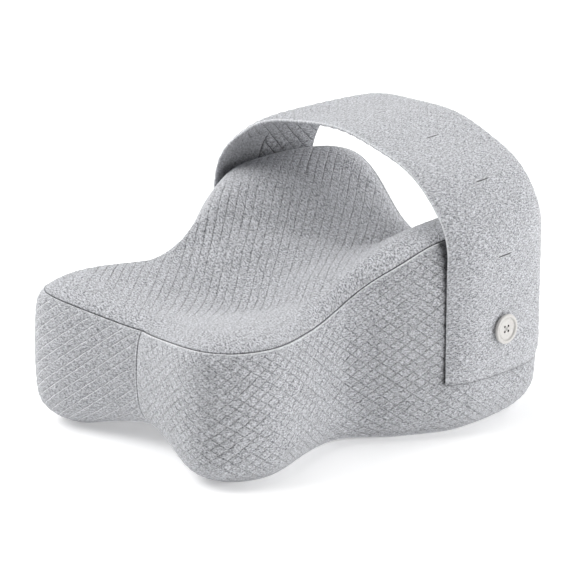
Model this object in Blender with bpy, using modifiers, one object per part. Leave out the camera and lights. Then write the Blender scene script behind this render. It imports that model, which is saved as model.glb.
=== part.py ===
"""Knee pillow: a contoured foam cushion in a quilted knit cover, with a buttoned leg strap.

Metres, +Z up. The shapes are worked out from the middle of the front edge: x across, y from the low front
end back to the high rear end, and z up from the surface that the pillow lies on. An empty then puts the
middle of the whole object over the origin.
"""

from collections import namedtuple
from math import asin, cos, exp, pi, radians, sin

import bmesh
import bpy
from mathutils import Matrix, Vector

# Cushion, seen from above: half its width at distances from the front end
PlanStation = namedtuple("PlanStation", "y half_width")
LENGTH = 0.330
PLAN = [
    PlanStation(-0.022, 0.1170),
    PlanStation(0.048, 0.1190),
    PlanStation(0.139, 0.0935),
    PlanStation(0.185, 0.1165),
    PlanStation(0.234, 0.1340),
    PlanStation(0.352, 0.1340),
]
FRONT_SQUARENESS = 7.3
REAR_SQUARENESS = 5.3
FRONT_RECESS = 0.0217
REAR_RECESS = 0.0165
BELLY = 0.0018

# Cushion, seen from the side: height of the two rims, and depth of the leg channels between them
RimStation = namedtuple("RimStation", "y height")
RIM = [
    RimStation(-0.022, 0.1087),
    RimStation(0.102, 0.1085),
    RimStation(0.161, 0.1374),
    RimStation(0.226, 0.1567),
    RimStation(0.352, 0.1635),
]
TOP_CHANNEL_FRONT = 0.0112
TOP_CHANNEL_REAR = 0.0505
LOWER_CHANNEL_FRONT = 0.0173
LOWER_CHANNEL_REAR = 0.0513
CHANNEL_SHARE_FRONT = 0.835
CHANNEL_SHARE_REAR = 0.782
FOOT_FLAT = 0.0020
WAIST_LIFT = 0.0040
WAIST_LIFT_AT = 0.155
WAIST_LIFT_SPREAD = 0.044

# Crest of each rim: how far it lies from the middle, and how much lower the channel is past it than without it
CrestStation = namedtuple("CrestStation", "y half_width")
CREST = [
    CrestStation(0.110, 0.0790),
    CrestStation(0.142, 0.0835),
    CrestStation(0.165, 0.0860),
    CrestStation(0.230, 0.0870),
]
DropStation = namedtuple("DropStation", "y drop")
CREST_DROP = [
    DropStation(0.100, 0.0),
    DropStation(0.142, 0.0095),
    DropStation(0.165, 0.0085),
    DropStation(0.205, 0.0045),
    DropStation(0.260, 0.0),
]
CREST_SPREAD = 0.022

TOP_EDGE_RADIUS = 0.0174
BOTTOM_EDGE_RADIUS = 0.0203

# Seam round the top panel: how far it lies below the rim, and the groove that it draws in
SeamStation = namedtuple("SeamStation", "y drop")
SEAM = [
    SeamStation(0.0, 0.0062),
    SeamStation(0.045, 0.0076),
    SeamStation(0.105, 0.0084),
    SeamStation(0.145, 0.0148),
    SeamStation(0.165, 0.0108),
    SeamStation(0.185, 0.0067),
    SeamStation(0.209, 0.0037),
    SeamStation(0.330, 0.0037),
]
SEAM_GROOVE = 0.0008
SEAM_HALF_WIDTH = 0.0015
FRONT_SEAM_PINCH = 0.0025
FRONT_SEAM_SPREAD = 0.008

# Strap: a quilted band over the rear half, from flank to flank
STRAP_FRONT = 0.2057
STRAP_WIDTH = 0.0965
STRAP_THICKNESS = 0.0038
STRAP_END_HEIGHT = 0.0418
STRAP_TOP_FRONT = 0.2102
STRAP_TOP_REAR = 0.2140
STRAP_ROUNDNESS = 2.1
STRAP_WALL_SHARE = 0.25
BUTTONED_STANDOFF = 0.0033
SEWN_STANDOFF = 0.0028
SEWN_END_STANDOFF = 0.0022
SEWN_END_REACH = 0.040
STRAP_WAVE = 0.0008
STRAP_WAVES = 9.5

# Buttonholes, from the one that the button holds, up the strap
BUTTONHOLE_COUNT = 5
FIRST_BUTTONHOLE = 0.037
BUTTONHOLE_STEP = 0.056
BUTTONHOLE_LENGTH = 0.0145
BUTTONHOLE_GAP = 0.0008
HELD_BUTTONHOLE_GAP = 0.0040

# Button and its thread shank
BUTTON_RADIUS = 0.0112
BUTTON_THICKNESS = 0.0038
BUTTON_BACK_HEIGHT = 0.0012
BUTTON_BACK_RADIUS = 0.0090
BUTTON_SIDE_LEAN = 0.0004
BUTTON_RIM_WIDTH = 0.0023
BUTTON_WELL_DEPTH = 0.0010
BUTTON_GROOVE_DEPTH = 0.0004
BUTTON_GROOVE_WIDTH = 0.0006
BUTTON_GROOVE_SLOPE = 0.0005
BUTTON_EDGE_RADIUS = 0.0009
THREAD_HOLE_RADIUS = 0.0009
THREAD_HOLE_SPREAD = 0.0027
THREAD_HOLE_COUNT = 4
SHANK_RADIUS = 0.0016
FIT_GAP = 0.0003

# How finely each surface is divided
CUSHION_STEPS = (30, 38, 7)
EDGE_STEPS = 6
SEAM_RING = 3
STRAP_STEPS = (64, 12)
ROUND_STEPS = 40
HOLE_STEPS = 16
SHANK_STEPS = 20
STRAP_WALK_STEPS = 400
MERGE_DISTANCE = 0.00001
SHARP_ANGLE = radians(40)

CUSHION_COLOUR = (0.44, 0.45, 0.47)
STRAP_COLOUR = (0.45, 0.46, 0.48)
BUTTON_COLOUR = (0.80, 0.79, 0.76)
THREAD_COLOUR = (0.62, 0.61, 0.58)


def smooth_through(stations, y):
    """A cubic through the stations with no overshoot, level past the first and the last."""
    y = min(max(y, stations[0][0]), stations[-1][0])
    spans = [(b[0] - a[0], (b[1] - a[1]) / (b[0] - a[0])) for a, b in zip(stations, stations[1:])]
    slopes = [spans[0][1]]
    for (width_a, slope_a), (width_b, slope_b) in zip(spans, spans[1:]):
        if slope_a * slope_b <= 0:
            slopes.append(0.0)
            continue
        weight_a, weight_b = 2 * width_b + width_a, width_b + 2 * width_a
        slopes.append((weight_a + weight_b) / (weight_a / slope_a + weight_b / slope_b))
    slopes.append(spans[-1][1])
    i = max(k for k in range(len(spans)) if y >= stations[k][0])
    width = spans[i][0]
    t = (y - stations[i][0]) / width
    start = (1 + 2 * t) * (1 - t) ** 2 * stations[i][1] + t * (1 - t) ** 2 * width * slopes[i]
    end = t * t * (3 - 2 * t) * stations[i + 1][1] - t * t * (1 - t) * width * slopes[i + 1]
    return start + end


def half_width(y):
    return smooth_through(PLAN, y)


def rim_height(y):
    return smooth_through(RIM, y)


def ease(t):
    t = min(max(t, 0.0), 1.0)
    return t * t * (3 - 2 * t)


def between(low, high, t):
    return low + (high - low) * t


def channel(share_of_width, y):
    """The leg channels' cross-section: 1 in the middle of the pillow and 0 on its two rims."""
    reach = between(CHANNEL_SHARE_FRONT, CHANNEL_SHARE_REAR, min(max(y / LENGTH, 0.0), 1.0))
    return 0.5 + 0.5 * cos(pi * min(abs(share_of_width) / reach, 1.0))


def crest_drop(x, y):
    """How much lower the channel's side is, close to the crest of the rim."""
    inward = max(smooth_through(CREST, y) - abs(x), 0.0) / CREST_SPREAD
    return smooth_through(CREST_DROP, y) * inward * exp(1 - inward)


def squareness(along):
    return FRONT_SQUARENESS if along < 0 else REAR_SQUARENESS


def edge_ring(ring, y, top):
    """How far in from the wall, and how far below the full height, a ring of the rounded edge lies."""
    if not top:
        angle = ring / EDGE_STEPS * pi / 2
        return BOTTOM_EDGE_RADIUS * (1 - cos(angle)), BOTTOM_EDGE_RADIUS * (1 - sin(angle))
    seam = asin(1 - smooth_through(SEAM, y) / TOP_EDGE_RADIUS)
    lip = SEAM_HALF_WIDTH / TOP_EDGE_RADIUS
    angle = (0, seam / 2, seam - lip, seam, seam + lip, (seam + lip + pi / 2) / 2, pi / 2)[ring]
    radius = TOP_EDGE_RADIUS - (SEAM_GROOVE if ring == SEAM_RING else 0)
    return TOP_EDGE_RADIUS - radius * cos(angle), TOP_EDGE_RADIUS - radius * sin(angle)


def gather(share, steps, y, top):
    """Moves an even share of the half width outwards, so that the outer steps fall on the rounded edge."""
    step = round((1 - abs(share)) * steps / 2)
    inset, _ = edge_ring(min(step, EDGE_STEPS), y, top)
    rim = 1 - inset / half_width(y)
    if step > EDGE_STEPS:
        rim *= 1 - (step - EDGE_STEPS) / (steps / 2 - EDGE_STEPS)
    return rim if share > 0 else -rim, step


def cushion_point(cube):
    """Where a point on the surface of the even cube, from -1 to 1 each way, lies on the cushion."""
    top = cube.z > 0
    along, step_along = gather(cube.y, CUSHION_STEPS[1], LENGTH if cube.y > 0 else 0.0, top)
    across, step_across = gather(cube.x, CUSHION_STEPS[0], LENGTH / 2 * (1 + along), top)
    ring = min(step_along, step_across)

    power = squareness(along)
    reach = (abs(across) ** power + abs(along) ** power) ** (1 / power)
    if reach > 0:
        round_off = max(abs(across), abs(along)) / reach
        across, along = across * round_off, along * round_off
    y = LENGTH / 2 * (1 + along)
    x = across * half_width(y)
    depth = ease(y / LENGTH)
    hollow = channel(across, y)
    lowered = crest_drop(x, y)
    y += FRONT_RECESS * hollow * ((1 - along) / 2) ** 3 - REAR_RECESS * hollow * ((1 + along) / 2) ** 3
    y += FRONT_SEAM_PINCH * exp(-((x / FRONT_SEAM_SPREAD) ** 2)) * max(-along, 0.0) ** 8

    upper = rim_height(y) - between(TOP_CHANNEL_FRONT, TOP_CHANNEL_REAR, depth) * hollow
    lift = WAIST_LIFT * exp(-(((y - WAIST_LIFT_AT) / WAIST_LIFT_SPREAD) ** 2)) * across**2
    lower = between(LOWER_CHANNEL_FRONT, LOWER_CHANNEL_REAR, depth) * hollow + lift
    lower = max(lower - FOOT_FLAT, 0.0)
    if ring > 0:
        drop = edge_ring(ring, y, top)[1] if ring < EDGE_STEPS else 0.0
        return Vector((x, y, upper - lowered - drop if top else lower + drop))
    wall = (cube.z + 1) / 2
    z = between(lower + BOTTOM_EDGE_RADIUS, upper - TOP_EDGE_RADIUS, wall)
    outward = Vector((
        abs(across) ** (power - 1) * (1 if across > 0 else -1) / half_width(y),
        abs(along) ** (power - 1) * (1 if along > 0 else -1) / (LENGTH / 2),
    )).normalized() * BELLY * (1 - cube.z**2)
    return Vector((x + outward.x, y + outward.y, z))


def strap_point(share, across):
    """A point on the strap's inner face: share runs from the buttoned end, across from the front edge."""
    y = STRAP_FRONT + across * STRAP_WIDTH
    along = 2 * y / LENGTH - 1
    power = squareness(along)
    flank = (1 - abs(along) ** power) ** (1 / power) * half_width(y)
    wall_top = rim_height(y) - TOP_EDGE_RADIUS
    if share <= STRAP_WALL_SHARE:
        z = between(STRAP_END_HEIGHT, wall_top, share / STRAP_WALL_SHARE)
        return Vector((flank + BUTTONED_STANDOFF, y, z))
    if share >= 1 - STRAP_WALL_SHARE:
        z = between(STRAP_END_HEIGHT, wall_top, (1 - share) / STRAP_WALL_SHARE)
        standoff = between(SEWN_END_STANDOFF, SEWN_STANDOFF, ease((z - STRAP_END_HEIGHT) / SEWN_END_REACH))
        return Vector((-flank - standoff, y, z))
    turn = pi * (share - STRAP_WALL_SHARE) / (1 - 2 * STRAP_WALL_SHARE)
    power = 2 / STRAP_ROUNDNESS
    rise = between(STRAP_TOP_FRONT, STRAP_TOP_REAR, across) - wall_top
    wave = STRAP_WAVE * sin(turn) * sin(STRAP_WAVES * turn + 2 * across)
    sideways = abs(cos(turn)) ** power * (1 if cos(turn) > 0 else -1)
    standoff = between(SEWN_STANDOFF, BUTTONED_STANDOFF, (1 + sideways) / 2)
    return Vector((
        (flank + standoff + wave) * sideways,
        y,
        wall_top + (rise + wave) * sin(turn) ** power,
    ))


def strap_frame(distance):
    """The matrix of a spot on the strap's outside, that far up from the buttoned end: Z points out."""
    middle = 0.5
    step = 1 / STRAP_WALK_STEPS
    share, walked = 0.0, 0.0
    here = strap_point(share, middle)
    while walked < distance:
        share += step
        onward = strap_point(share, middle)
        walked += (onward - here).length
        here = onward
    along = (strap_point(share + step, middle) - strap_point(share - step, middle)).normalized()
    rearward = (strap_point(share, middle + step) - strap_point(share, middle - step)).normalized()
    out = rearward.cross(along).normalized()
    rearward = along.cross(out)
    turned = Matrix((rearward, along, out)).transposed().to_4x4()
    return Matrix.Translation(here + out * STRAP_THICKNESS) @ turned


def material(name, colour, roughness):
    made = bpy.data.materials.new(name)
    made.use_nodes = True
    shader = made.node_tree.nodes["Principled BSDF"]
    shader.inputs["Base Color"].default_value = (*colour, 1)
    shader.inputs["Roughness"].default_value = roughness
    shader.inputs["Metallic"].default_value = 0.0
    return made


def new_object(name, mesh, finish=None):
    made = bpy.data.objects.new(name, mesh)
    if finish:
        mesh.materials.append(finish)
        mesh.shade_smooth()
        mesh.set_sharp_from_angle(angle=SHARP_ANGLE)
        parts.objects.link(made)
        made.parent = whole
    else:
        made.hide_render = True
        made.display_type = "WIRE"
        cutters.objects.link(made)
        made.parent = whole
    return made


def mesh_from(bm, name):
    mesh = bpy.data.meshes.new(name)
    bm.to_mesh(mesh)
    bm.free()
    return mesh


def make_cushion():
    bm = bmesh.new()
    bmesh.ops.create_cube(bm, size=2)
    for axis, steps in enumerate(CUSHION_STEPS):
        edges = [e for e in bm.edges if abs(e.verts[0].co[axis] - e.verts[1].co[axis]) > 1]
        bmesh.ops.subdivide_edges(bm, edges=edges, cuts=steps - 1, use_grid_fill=True)
    for vert in bm.verts:
        vert.co = cushion_point(vert.co)
    return new_object("cushion", mesh_from(bm, "cushion"), material("quilted_knit", CUSHION_COLOUR, 0.9))


def slot_cutter(name, distance, gap):
    """A block that opens one buttonhole: long across the strap, and as wide as the gap along it."""
    bm = bmesh.new()
    bmesh.ops.create_cube(bm, size=1)
    size = Matrix.Diagonal((BUTTONHOLE_LENGTH, gap, 4 * STRAP_THICKNESS, 1))
    bmesh.ops.transform(bm, matrix=strap_frame(distance) @ size, verts=bm.verts)
    return new_object(name, mesh_from(bm, name))


def cut(piece, cutter):
    boolean = piece.modifiers.new(cutter.name, "BOOLEAN")
    boolean.operation = "DIFFERENCE"
    boolean.object = cutter


def make_strap():
    bm = bmesh.new()
    bmesh.ops.create_grid(bm, x_segments=STRAP_STEPS[0], y_segments=STRAP_STEPS[1], size=1)
    for vert in bm.verts:
        vert.co = strap_point((1 + vert.co.x) / 2, (1 + vert.co.y) / 2)
    strap = new_object("strap", mesh_from(bm, "strap"), material("strap_knit", STRAP_COLOUR, 0.9))
    wall = strap.modifiers.new("thickness", "SOLIDIFY")
    wall.thickness = STRAP_THICKNESS
    wall.offset = -1
    wall.use_even_offset = True
    for i in range(BUTTONHOLE_COUNT):
        gap = HELD_BUTTONHOLE_GAP if i == 0 else BUTTONHOLE_GAP
        cut(strap, slot_cutter(f"buttonhole_cutter_{i + 1}", FIRST_BUTTONHOLE + i * BUTTONHOLE_STEP, gap))
    return strap


def button_profile():
    """Half the button's section as (radius, height), from the well over the rim to the back."""
    rim = BUTTON_RADIUS - BUTTON_RIM_WIDTH
    well = BUTTON_THICKNESS - BUTTON_WELL_DEPTH
    floor = well - BUTTON_GROOVE_DEPTH
    outer_floor = rim - BUTTON_GROOVE_SLOPE
    inner_floor = outer_floor - BUTTON_GROOVE_WIDTH
    edge = [
        (
            BUTTON_RADIUS - BUTTON_EDGE_RADIUS * (1 - cos(angle)),
            BUTTON_THICKNESS - BUTTON_EDGE_RADIUS * (1 - sin(angle)),
        )
        for angle in (pi / 2, pi / 3, pi / 6, 0)
    ]
    well_to_rim = [
        (0.0, well),
        (inner_floor - BUTTON_GROOVE_SLOPE, well),
        (inner_floor, floor),
        (outer_floor, floor),
        (rim, BUTTON_THICKNESS - BUTTON_WELL_DEPTH / 3),
    ]
    back = [
        (BUTTON_RADIUS - BUTTON_SIDE_LEAN, BUTTON_BACK_HEIGHT),
        (BUTTON_BACK_RADIUS, 0.0),
        (0.0, 0.0),
    ]
    return well_to_rim + edge + back


def make_button():
    profile = button_profile()
    mesh = bpy.data.meshes.new("button")
    mesh.from_pydata([(r, 0, z) for r, z in profile], [(i, i + 1) for i in range(len(profile) - 1)], [])
    button = new_object("button", mesh, material("button_resin", BUTTON_COLOUR, 0.35))
    on_strap = strap_frame(FIRST_BUTTONHOLE) @ Matrix.Translation((0, 0, FIT_GAP))
    button.matrix_local = on_strap
    turned = button.modifiers.new("turned", "SCREW")
    turned.steps = turned.render_steps = ROUND_STEPS
    turned.use_merge_vertices = True
    turned.merge_threshold = MERGE_DISTANCE
    for i in range(THREAD_HOLE_COUNT):
        angle = 2 * pi * i / THREAD_HOLE_COUNT + pi / 4
        bm = bmesh.new()
        bmesh.ops.create_cone(
            bm,
            cap_ends=True,
            segments=HOLE_STEPS,
            radius1=THREAD_HOLE_RADIUS,
            radius2=THREAD_HOLE_RADIUS,
            depth=4 * BUTTON_THICKNESS,
        )
        name = f"thread_hole_cutter_{i + 1}"
        cutter = new_object(name, mesh_from(bm, name))
        place = Matrix.Translation((THREAD_HOLE_SPREAD * cos(angle), THREAD_HOLE_SPREAD * sin(angle), 0))
        cutter.matrix_local = on_strap @ place
        cut(button, cutter)
    return button


def make_shank():
    """The wound thread that holds the button, through the buttonhole, to the flank of the cushion."""
    bm = bmesh.new()
    length = STRAP_THICKNESS + BUTTONED_STANDOFF - BELLY - FIT_GAP
    bmesh.ops.create_cone(
        bm, cap_ends=True, segments=SHANK_STEPS, radius1=SHANK_RADIUS, radius2=SHANK_RADIUS, depth=length
    )
    thread = material("thread", THREAD_COLOUR, 0.8)
    shank = new_object("thread_shank", mesh_from(bm, "thread_shank"), thread)
    shank.matrix_local = strap_frame(FIRST_BUTTONHOLE) @ Matrix.Translation((0, 0, -length / 2))
    return shank


for old in list(bpy.data.objects):
    bpy.data.objects.remove(old)
parts = bpy.data.collections.new("knee_pillow")
cutters = bpy.data.collections.new("cutters")
for collection in (parts, cutters):
    bpy.context.scene.collection.children.link(collection)
whole = bpy.data.objects.new("whole", None)
parts.objects.link(whole)
right_reach = BUTTONED_STANDOFF + FIT_GAP + BUTTON_THICKNESS
whole.location = ((SEWN_STANDOFF - right_reach) / 2, -LENGTH / 2, 0)

make_cushion()
make_strap()
make_button()
make_shank()
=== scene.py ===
"""The looks of a contoured knee pillow in a quilted knit cover, with its buttoned leg strap.

Metres, +Z up, in the part's own frame. The shapes are worked out from the middle of the front edge, as in the
part's source: x across, y from the low front end back to the high rear end. WHOLE then moves them into place.
"""

from math import cos, pi, radians, sin

import bmesh
import bpy
import numpy as np
from mathutils import Matrix, Vector, noise


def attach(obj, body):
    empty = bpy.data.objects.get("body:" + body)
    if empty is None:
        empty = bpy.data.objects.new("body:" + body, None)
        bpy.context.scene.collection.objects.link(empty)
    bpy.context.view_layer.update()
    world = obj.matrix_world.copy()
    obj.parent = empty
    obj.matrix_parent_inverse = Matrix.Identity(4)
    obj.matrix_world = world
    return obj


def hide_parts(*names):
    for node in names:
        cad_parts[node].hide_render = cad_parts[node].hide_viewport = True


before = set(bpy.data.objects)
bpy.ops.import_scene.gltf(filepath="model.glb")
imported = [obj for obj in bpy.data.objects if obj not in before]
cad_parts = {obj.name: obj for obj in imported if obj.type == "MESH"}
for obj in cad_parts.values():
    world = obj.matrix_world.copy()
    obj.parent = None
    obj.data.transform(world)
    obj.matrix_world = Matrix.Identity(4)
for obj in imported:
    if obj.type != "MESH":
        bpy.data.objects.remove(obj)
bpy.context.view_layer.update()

# Cushion, seen from above: half its width at distances from the front end
LENGTH = 0.330
PLAN = [(-0.022, 0.1170), (0.048, 0.1190), (0.139, 0.0935), (0.185, 0.1165), (0.234, 0.1340), (0.352, 0.1340)]
FRONT_SQUARENESS = 7.3
REAR_SQUARENESS = 5.3
FRONT_RECESS = 0.0217
REAR_RECESS = 0.0165
BELLY = 0.0018

# Cushion, seen from the side: height of its two rims, and depth of the leg channels between them
RIM = [(-0.022, 0.1087), (0.102, 0.1085), (0.161, 0.1374), (0.226, 0.1567), (0.352, 0.1635)]
TOP_CHANNEL_FRONT = 0.0112
TOP_CHANNEL_REAR = 0.0505
LOWER_CHANNEL_FRONT = 0.0173
LOWER_CHANNEL_REAR = 0.0513
CHANNEL_SHARE_FRONT = 0.835
CHANNEL_SHARE_REAR = 0.782
FOOT_FLAT = 0.0020
WAIST_LIFT = 0.0040
WAIST_LIFT_AT = 0.155
WAIST_LIFT_SPREAD = 0.044

# Crest of each rim, out from the middle, and how much lower the channel's side is past it
CREST = [(0.110, 0.0790), (0.142, 0.0835), (0.165, 0.0860), (0.230, 0.0870)]
CREST_DROP = [(0.100, 0.0), (0.142, 0.0095), (0.165, 0.0085), (0.205, 0.0045), (0.260, 0.0)]
CREST_SPREAD = 0.022

TOP_EDGE_RADIUS = 0.0174
BOTTOM_EDGE_RADIUS = 0.0203

# Seams of the cover: how far the top one lies below the rim, how far round the lower edge the bottom one lies
TOP_SEAM = [
    (0.0, 0.0062), (0.045, 0.0076), (0.105, 0.0084), (0.145, 0.0148),
    (0.165, 0.0108), (0.185, 0.0067), (0.209, 0.0037), (0.330, 0.0037),
]
BOTTOM_SEAM_ANGLE = radians(79)
FRONT_SEAM_PINCH = 0.0025
FRONT_SEAM_SPREAD = 0.008
SEAM_DEPTH = 0.0014
SEAM_HALF_WIDTH = 0.00034
SEAM_LIP = 0.0004
SEAM_LIP_AT = 0.0009
SEAM_LIP_SPREAD = 0.0004
SEAM_SHADOW = 0.0003
# Where the painted shadow under the strap's front edge starts, behind that edge
UNDER_STRAP_EDGE = -0.0003
NEXT_TO_SEAM = (0.0005, 0.0016)

# Strap: a quilted band over the rear half, from flank to flank
STRAP_FRONT = 0.2057
STRAP_WIDTH = 0.0965
STRAP_THICKNESS = 0.0038
STRAP_END_HEIGHT = 0.0418
STRAP_TOP_FRONT = 0.2102
STRAP_TOP_REAR = 0.2140
STRAP_ROUNDNESS = 2.1
STRAP_WALL_SHARE = 0.25
BUTTONED_STANDOFF = 0.0033
SEWN_STANDOFF = 0.0028
SEWN_END_STANDOFF = 0.0022
SEWN_END_REACH = 0.040
STRAP_WAVE = 0.0008
STRAP_WAVES = 9.5
STRAP_EDGE_ROUND = 0.0013
STRAP_EDGE_SHARE = 0.66
STRAP_EDGE_TAPER = 0.007
STRAP_END_SHARE = 0.42
STRAP_END_TAPER = 0.014
STRAP_END_PRESS = 0.0007
STRAP_EDGE_PRESS = 0.0013
STRAP_EDGE_PRESS_REACH = 0.016
INNER_SEAM_FROM = 0.665
INNER_SEAM_WIDTH = 0.0005

# Buttonholes, from the one that the button holds, up the strap
BUTTONHOLE_COUNT = 5
FIRST_BUTTONHOLE = 0.037
BUTTONHOLE_STEP = 0.056
BUTTONHOLE_LENGTH = 0.0145
BUTTONHOLE_GAP = 0.0005
HELD_BUTTONHOLE_GAP = 0.0040
STITCH_WIDTH = 0.0012
STITCH_HEIGHT = 0.0004

# Button
BUTTON_RADIUS = 0.0112
BUTTON_THICKNESS = 0.0038
BUTTON_BACK_RADIUS = 0.0090
BUTTON_EDGE_RADIUS = 0.0009
BUTTON_RIM_WIDTH = 0.0023
BUTTON_WELL_DEPTH = 0.0010
BUTTON_GROOVE_DEPTH = 0.0004
THREAD_HOLE_RADIUS = 0.0009
THREAD_HOLE_SPREAD = 0.0027
THREAD_RADIUS = 0.00021
FIT_GAP = 0.0003

# Quilting: width and height of one diamond on each panel, in metres, and how far it puffs up
TOP_DIAMOND = (0.0090, 0.0093)
BAND_DIAMOND = (0.0116, 0.0085)
STRAP_DIAMOND = (0.0092, 0.0099)
TOP_DIAMOND_TURN = radians(-4)
PUFF_HEIGHT = 0.0010
STRAP_PUFF_HEIGHT = 0.0010

# Colours of the knit's fibres
LIGHT_FIBRE = (0.72, 0.73, 0.765)
DARK_FIBRE = (0.15, 0.154, 0.166)

WHOLE = Vector(((SEWN_STANDOFF - BUTTONED_STANDOFF - FIT_GAP - BUTTON_THICKNESS) / 2, -LENGTH / 2, 0))

# How finely the cover is divided before it is smoothed
COVER_STEPS = (44, 56, 12)
EDGE_STEPS = 9
SEAM_RING = 4

# Cloth of the cover: how hard its filling presses, and how far the cloth may swell
SWELL_PRESSURE = 4
SWELL_FRAMES = 20
SWELL_LIMIT = 0.0012
HELD_BY_SEAM = 0.0012

# Camera and where it looks, from the outline of the pillow in the photo
CAMERA_AZIMUTH = radians(48.909)
CAMERA_ELEVATION = radians(17.424)
CAMERA_DISTANCE = 2.2347
CAMERA_LENS = 187.56
CAMERA_TARGET = Vector((0.00006, 0, 0.0953))

# Softboxes round the pillow: azimuth and elevation in degrees, and power in watts
SOFTBOX_DISTANCE = 1.8
SOFTBOX_SIZE = 1.0
SOFTBOXES = [
    ("left_front", -30, 45, 20.0),
    ("left_low", -65, 12, 1.6),
    ("left_high", -65, 45, 9.5),
    ("left_rear", -100, 12, 8.4),
    ("right_low", 115, 12, 16.0),
    ("right_high", 115, 45, 3.8),
    ("rear_right_low", 150, 12, 1.2),
    ("rear_right_high", 150, 45, 4.7),
    ("rear", 190, 12, 15.5),
    ("top", 0, 89, 10.5),
]
FLOOR_GLOW = 0.2
WORLD_GLOW = 0.01
FLOOR_GLOW = 0.12
FLOOR_GLOW = 0.3


def deselect():
    for chosen in list(bpy.context.selected_objects):
        chosen.select_set(False)


def only(piece):
    """Makes a piece the only one selected, and the active one."""
    deselect()
    piece.select_set(True)
    bpy.context.view_layer.objects.active = piece


def apply_modifiers(piece):
    only(piece)
    for modifier in list(piece.modifiers):
        bpy.ops.object.modifier_apply(modifier=modifier.name)


# Shapes that the solids have too


def smooth_through(stations, y):
    """A cubic through the stations with no overshoot, level past the first and the last."""
    at, values = np.array(stations).T
    y = np.clip(y, at[0], at[-1])
    width = np.diff(at)
    rise = np.diff(values) / width
    slopes = np.concatenate([rise[:1], np.zeros(len(rise) - 1), rise[-1:]])
    for i in range(1, len(rise)):
        if rise[i - 1] * rise[i] > 0:
            before, after = 2 * width[i] + width[i - 1], width[i] + 2 * width[i - 1]
            slopes[i] = (before + after) / (before / rise[i - 1] + after / rise[i])
    i = np.clip(np.searchsorted(at, y, side="right") - 1, 0, len(width) - 1)
    t = (y - at[i]) / width[i]
    start = (1 + 2 * t) * (1 - t) ** 2 * values[i] + t * (1 - t) ** 2 * width[i] * slopes[i]
    end = t * t * (3 - 2 * t) * values[i + 1] - t * t * (1 - t) * width[i] * slopes[i + 1]
    return start + end


def ease(t):
    t = np.clip(t, 0, 1)
    return t * t * (3 - 2 * t)


def between(low, high, t):
    return low + (high - low) * t


def near(apart, spread):
    """1 on a line, fading to nothing about two spreads away from it."""
    return np.exp(-((apart / spread) ** 2))


def half_width(y):
    return smooth_through(PLAN, y)


def rim_height(y):
    return smooth_through(RIM, y)


def crest_drop(x, y):
    """How much lower the channel's side is, close to the crest of the rim."""
    inward = np.maximum(smooth_through(CREST, y) - np.abs(x), 0) / CREST_SPREAD
    return smooth_through(CREST_DROP, y) * inward * np.exp(1 - inward)


def squareness(along):
    return np.where(along < 0, FRONT_SQUARENESS, REAR_SQUARENESS)


def edge_rings(y, top):
    """The angle up the rounded edge of each ring of the cover, for each y: from the wall to the flat."""
    y = np.asarray(y, float)
    radius = TOP_EDGE_RADIUS if top else BOTTOM_EDGE_RADIUS
    seam = np.arcsin(1 - smooth_through(TOP_SEAM, y) / radius) if top else np.full(y.shape, BOTTOM_SEAM_ANGLE)
    near, far = (reach / radius for reach in NEXT_TO_SEAM)
    rest = pi / 2 - seam - far
    rings = [0 * seam, (seam - far) / 2, seam - far, seam - near, seam, seam + near, seam + far]
    return np.stack(rings + [seam + far + rest / 3, seam + far + rest * 2 / 3, seam + far + rest])


def ring_angle(ring, y, top):
    return np.take_along_axis(edge_rings(y, top), np.minimum(ring, EDGE_STEPS)[None], axis=0)[0]


def line_share(steps_in, inner_shares, y, top):
    """How far out from the middle a line of the cover lies, as a share of the half width."""
    radius = TOP_EDGE_RADIUS if top else BOTTOM_EDGE_RADIUS
    inset = radius * (1 - np.cos(ring_angle(steps_in, y, top)))
    rim = 1 - inset / half_width(y)
    inner = np.clip(steps_in - EDGE_STEPS, 0, len(inner_shares) - 1)
    return rim * inner_shares[inner]


def rounded_plan(across, along):
    """Rounds the corners of the square plan."""
    power = squareness(along)
    reach = (np.abs(across) ** power + np.abs(along) ** power) ** (1 / power)
    round_off = np.maximum(np.abs(across), np.abs(along)) / np.maximum(reach, 1e-9)
    return across * round_off, along * round_off


def strap_inside(share, across):
    """The strap's inner face: share runs from the buttoned end to the sewn one, across from front to rear."""
    y = STRAP_FRONT + across * STRAP_WIDTH
    along = 2 * y / LENGTH - 1
    power = squareness(along)
    flank = (1 - np.abs(along) ** power) ** (1 / power) * half_width(y)
    wall_top = rim_height(y) - TOP_EDGE_RADIUS
    up = np.clip(np.minimum(share, 1 - share) / STRAP_WALL_SHARE, 0, 1)
    turn = pi * np.clip((share - STRAP_WALL_SHARE) / (1 - 2 * STRAP_WALL_SHARE), 0, 1)
    power = 2 / STRAP_ROUNDNESS
    wave = STRAP_WAVE * np.sin(turn) * np.sin(STRAP_WAVES * turn + 2 * across)
    sideways = np.abs(np.cos(turn)) ** power * np.sign(np.cos(turn))
    wall = between(STRAP_END_HEIGHT, wall_top, up)
    sewn = between(SEWN_END_STANDOFF, SEWN_STANDOFF, ease((wall - STRAP_END_HEIGHT) / SEWN_END_REACH))
    standoff = between(sewn, BUTTONED_STANDOFF, (1 + sideways) / 2)
    rise = between(STRAP_TOP_FRONT, STRAP_TOP_REAR, across) - wall_top
    height = np.where(up < 1, wall, wall_top + (rise + wave) * np.sin(turn) ** power)
    return np.stack([(flank + standoff + wave) * sideways, y, height], axis=-1)


# Cover of the cushion


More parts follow.
